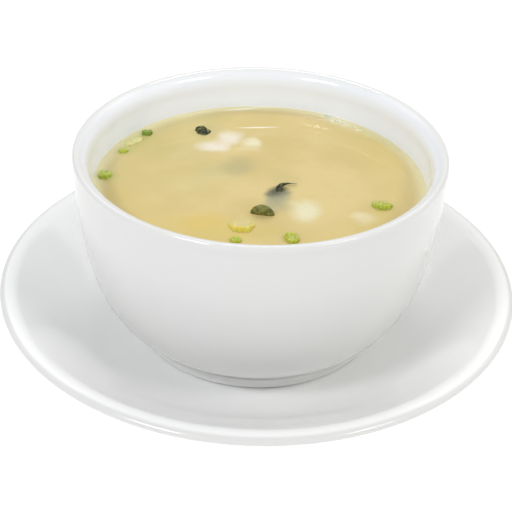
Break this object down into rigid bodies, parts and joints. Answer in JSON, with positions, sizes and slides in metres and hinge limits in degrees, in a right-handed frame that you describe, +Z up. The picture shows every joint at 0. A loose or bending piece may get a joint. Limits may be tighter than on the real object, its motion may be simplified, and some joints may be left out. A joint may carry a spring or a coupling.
{
  "type": "bowl of miso soup",
  "caption": "Deep white porcelain bowl on its saucer, filled with cloudy miso soup with tofu, wakame seaweed and spring onion slices floating in it.",
  "frame": {"origin": "centre of the saucer's foot ring, on the plane the saucer stands on", "axes": "+Z up along the axis of the bowl and the saucer; the shown side of the garnish faces -Y"},
  "size_m": [0.1782, 0.1782, 0.0754],
  "materials": {
    "porcelain": "glossy white glaze",
    "soup": "wet, cloudy liquid",
    "tofu": "moist, fine-pored",
    "wakame": "wet, slippery",
    "onion_green": "wet, satin",
    "onion_pale": "wet, satin"
  },
  "bodies": {
    "root": {"saucer": "porcelain", "bowl": "porcelain", "soup": "soup", "onion_back_high": "onion_green", "onion_back_low": "onion_green", "onion_back_pale": "onion_pale", "onion_front": "onion_pale", "onion_left": "onion_green", "onion_right": "onion_green", "onion_rim_left": "onion_green", "onion_rim_right": "onion_green", "tofu_back": "tofu", "wakame_back": "wakame", "wakame_front": "wakame", "wakame_middle": "wakame"}
  },
  "joints": []
}
